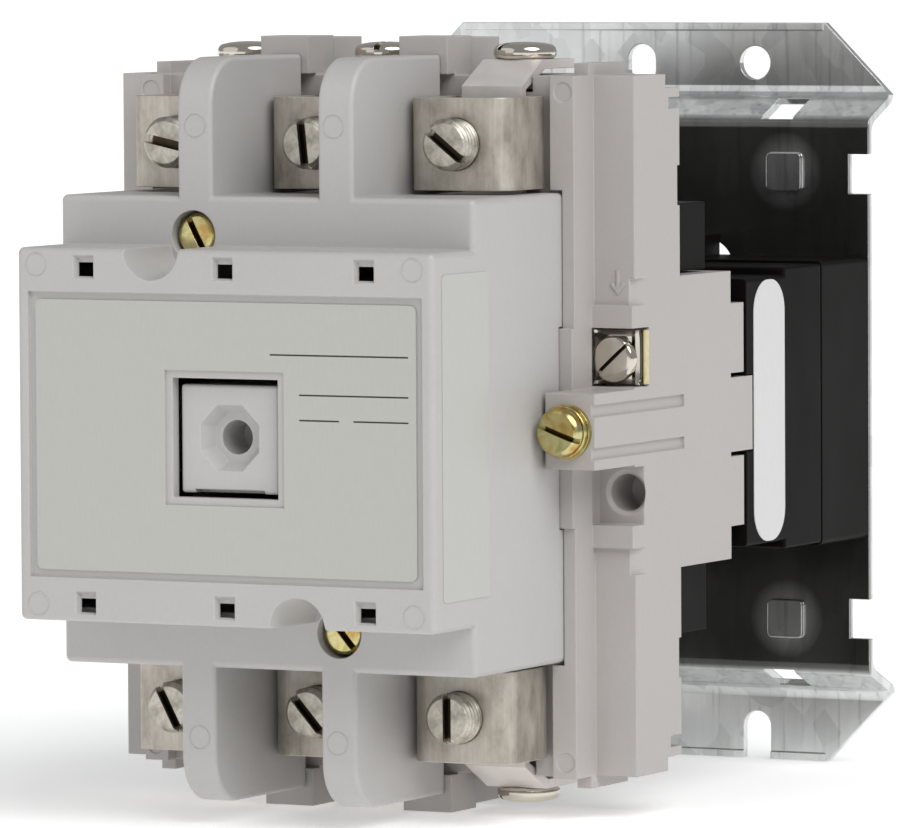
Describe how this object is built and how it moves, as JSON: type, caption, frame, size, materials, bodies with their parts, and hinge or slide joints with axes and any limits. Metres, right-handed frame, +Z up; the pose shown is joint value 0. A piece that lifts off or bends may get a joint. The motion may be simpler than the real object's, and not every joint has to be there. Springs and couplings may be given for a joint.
{
  "type": "magnetic motor starter",
  "caption": "Three-pole magnetic motor starter: arc box, spring-returned contact carrier, box lugs, coil and magnet on a joggled steel mounting plate.",
  "frame": {"origin": "centre of the rear plane shared by the plate's two mounting flanges, where the starter meets the panel", "axes": "+X to the viewer's right, +Y into the panel, +Z up; the front faces -Y"},
  "size_m": [0.1233, 0.199, 0.166],
  "materials": {
    "galvanised_steel": "hot-dip galvanised sheet, mottled",
    "cover_plastic": "moulded thermoset, light grey",
    "base_plastic": "moulded thermoset, warm light grey",
    "plunger_plastic": "moulded thermoset, light grey",
    "nameplate_foil": "satin printed foil, grey-green",
    "side_label_film": "satin film",
    "coil_label_film": "white film, rounded ends",
    "yellow_zinc": "zinc plated steel, yellow chromate",
    "tinned_aluminium": "dull tin plate",
    "dull_zinc": "dull zinc plate",
    "tinned_copper": "tin plated copper",
    "nickel_plate": "bright nickel plate",
    "coil_moulding": "black encapsulation, satin",
    "black_moulding": "black thermoset",
    "copper": "bare copper",
    "lamination_steel": "stacked silicon steel",
    "spring_steel": "zinc plated steel",
    "cushion_rubber": "black rubber",
    "contact_copper": "copper bar with silver contacts",
    "silver_alloy": "silver alloy contact"
  },
  "bodies": {
    "root": {"arc_box": "cover_plastic", "captive_washers": "yellow_zinc", "coil_case": "coil_moulding", "coil_label": "coil_label_film", "coil_saddle_clamps": "nickel_plate", "coil_terminal_plates": "nickel_plate", "coil_winding": "copper", "kickout_spring_left": "spring_steel", "kickout_spring_right": "spring_steel", "line_lug_left": "tinned_aluminium", "line_lug_middle": "tinned_aluminium", "line_lug_right": "tinned_aluminium", "line_strap_left": "tinned_copper", "line_strap_middle": "tinned_copper", "line_strap_right": "tinned_copper", "load_lug_left": "tinned_aluminium", "load_lug_middle": "tinned_aluminium", "load_lug_right": "tinned_aluminium", "load_strap_left": "tinned_copper", "load_strap_middle": "tinned_copper", "load_strap_right": "tinned_copper", "lower_base": "black_moulding", "magnet_core": "lamination_steel", "magnet_cushion": "cushion_rubber", "mounting_plate": "galvanised_steel", "nameplate": "nameplate_foil", "plate_screws": "spring_steel", "shading_rings": "copper", "side_label": "side_label_film", "stationary_contacts": "silver_alloy", "upper_base": "base_plastic"},
    "contact_carrier": {"crossbar": "plunger_plastic", "armature": "lamination_steel", "armature_pin": "spring_steel", "contact_spring_left": "spring_steel", "contact_spring_middle": "spring_steel", "contact_spring_right": "spring_steel"},
    "bridge_left": {"contact_bridge_left": "contact_copper"},
    "bridge_middle": {"contact_bridge_middle": "contact_copper"},
    "bridge_right": {"contact_bridge_right": "contact_copper"},
    "line_set_screw_left": {"line_set_screw_left": "dull_zinc"},
    "line_set_screw_middle": {"line_set_screw_middle": "dull_zinc"},
    "line_set_screw_right": {"line_set_screw_right": "dull_zinc"},
    "line_tab_screw_left": {"line_tab_screw_left": "nickel_plate"},
    "line_tab_screw_middle": {"line_tab_screw_middle": "nickel_plate"},
    "line_tab_screw_right": {"line_tab_screw_right": "nickel_plate"},
    "load_set_screw_left": {"load_set_screw_left": "dull_zinc"},
    "load_set_screw_middle": {"load_set_screw_middle": "dull_zinc"},
    "load_set_screw_right": {"load_set_screw_right": "dull_zinc"},
    "load_tab_screw_left": {"load_tab_screw_left": "nickel_plate"},
    "load_tab_screw_middle": {"load_tab_screw_middle": "nickel_plate"},
    "load_tab_screw_right": {"load_tab_screw_right": "nickel_plate"},
    "arc_box_screw_top": {"arc_box_screw_top": "yellow_zinc"},
    "arc_box_screw_bottom": {"arc_box_screw_bottom": "yellow_zinc"},
    "captive_screw_right": {"captive_screw_right": "yellow_zinc"},
    "captive_screw_left": {"captive_screw_left": "yellow_zinc"},
    "coil_screw_right": {"coil_screw_right": "nickel_plate"},
    "coil_screw_left": {"coil_screw_left": "nickel_plate"}
  },
  "joints": [
    {"name": "carrier_slide", "type": "slide", "parent": "root", "child": "contact_carrier", "axis": [0, 1, 0], "range_m": [0, 0.007], "stiffness_N_per_m": 900, "springref_m": -0.008, "deforming": ["kickout_spring_right", "kickout_spring_left"]},
    {"name": "bridge_left_give", "type": "slide", "parent": "contact_carrier", "child": "bridge_left", "axis": [0, -1, 0], "range_m": [0, 0.002], "deforming": ["contact_spring_left"]},
    {"name": "bridge_middle_give", "type": "slide", "parent": "contact_carrier", "child": "bridge_middle", "axis": [0, -1, 0], "range_m": [0, 0.002], "deforming": ["contact_spring_middle"]},
    {"name": "bridge_right_give", "type": "slide", "parent": "contact_carrier", "child": "bridge_right", "axis": [0, -1, 0], "range_m": [0, 0.002], "deforming": ["contact_spring_right"]},
    {"name": "line_set_screw_left_travel", "type": "slide", "parent": "root", "child": "line_set_screw_left", "axis": [0, 1, 0], "range_m": [-0.003, 0.008]},
    {"name": "line_set_screw_middle_travel", "type": "slide", "parent": "root", "child": "line_set_screw_middle", "axis": [0, 1, 0], "range_m": [-0.003, 0.008]},
    {"name": "line_set_screw_right_travel", "type": "slide", "parent": "root", "child": "line_set_screw_right", "axis": [0, 1, 0], "range_m": [-0.003, 0.008]},
    {"name": "line_tab_screw_left_turn", "type": "hinge", "parent": "root", "child": "line_tab_screw_left", "pos_m": [-0.0333, -0.126, 0.0772], "axis": [0, 0, 1], "continuous": true},
    {"name": "line_tab_screw_middle_turn", "type": "hinge", "parent": "root", "child": "line_tab_screw_middle", "pos_m": [0, -0.126, 0.0772], "axis": [0, 0, 1], "continuous": true},
    {"name": "line_tab_screw_right_turn", "type": "hinge", "parent": "root", "child": "line_tab_screw_right", "pos_m": [0.0333, -0.126, 0.0772], "axis": [0, 0, 1], "continuous": true},
    {"name": "load_set_screw_left_travel", "type": "slide", "parent": "root", "child": "load_set_screw_left", "axis": [0, 1, 0], "range_m": [-0.003, 0.008]},
    {"name": "load_set_screw_middle_travel", "type": "slide", "parent": "root", "child": "load_set_screw_middle", "axis": [0, 1, 0], "range_m": [-0.003, 0.008]},
    {"name": "load_set_screw_right_travel", "type": "slide", "parent": "root", "child": "load_set_screw_right", "axis": [0, 1, 0], "range_m": [-0.003, 0.008]},
    {"name": "load_tab_screw_left_turn", "type": "hinge", "parent": "root", "child": "load_tab_screw_left", "pos_m": [-0.0333, -0.126, -0.0772], "axis": [0, 0, -1], "continuous": true},
    {"name": "load_tab_screw_middle_turn", "type": "hinge", "parent": "root", "child": "load_tab_screw_middle", "pos_m": [0, -0.126, -0.0772], "axis": [0, 0, -1], "continuous": true},
    {"name": "load_tab_screw_right_turn", "type": "hinge", "parent": "root", "child": "load_tab_screw_right", "pos_m": [0.0333, -0.126, -0.0772], "axis": [0, 0, -1], "continuous": true},
    {"name": "arc_box_screw_top_turn", "type": "hinge", "parent": "root", "child": "arc_box_screw_top", "pos_m": [-0.017, -0.179, 0.0412], "axis": [0, -1, 0], "continuous": true},
    {"name": "arc_box_screw_bottom_turn", "type": "hinge", "parent": "root", "child": "arc_box_screw_bottom", "pos_m": [0.017, -0.179, -0.0412], "axis": [0, -1, 0], "continuous": true},
    {"name": "captive_screw_right_turn", "type": "hinge", "parent": "root", "child": "captive_screw_right", "pos_m": [0.055, -0.1504, 0], "axis": [0, -1, 0], "continuous": true},
    {"name": "captive_screw_left_turn", "type": "hinge", "parent": "root", "child": "captive_screw_left", "pos_m": [-0.055, -0.1504, 0], "axis": [0, -1, 0], "continuous": true},
    {"name": "coil_screw_right_turn", "type": "hinge", "parent": "root", "child": "coil_screw_right", "pos_m": [0.0563, -0.13, 0.0142], "axis": [0, -1, 0], "continuous": true},
    {"name": "coil_screw_left_turn", "type": "hinge", "parent": "root", "child": "coil_screw_left", "pos_m": [-0.0563, -0.13, 0.0142], "axis": [0, -1, 0], "continuous": true}
  ],
  "couplings": [
    {"joint": "bridge_left_give", "follows": "carrier_slide", "ratio": 0.28571},
    {"joint": "bridge_middle_give", "follows": "carrier_slide", "ratio": 0.28571},
    {"joint": "bridge_right_give", "follows": "carrier_slide", "ratio": 0.28571}
  ]
}
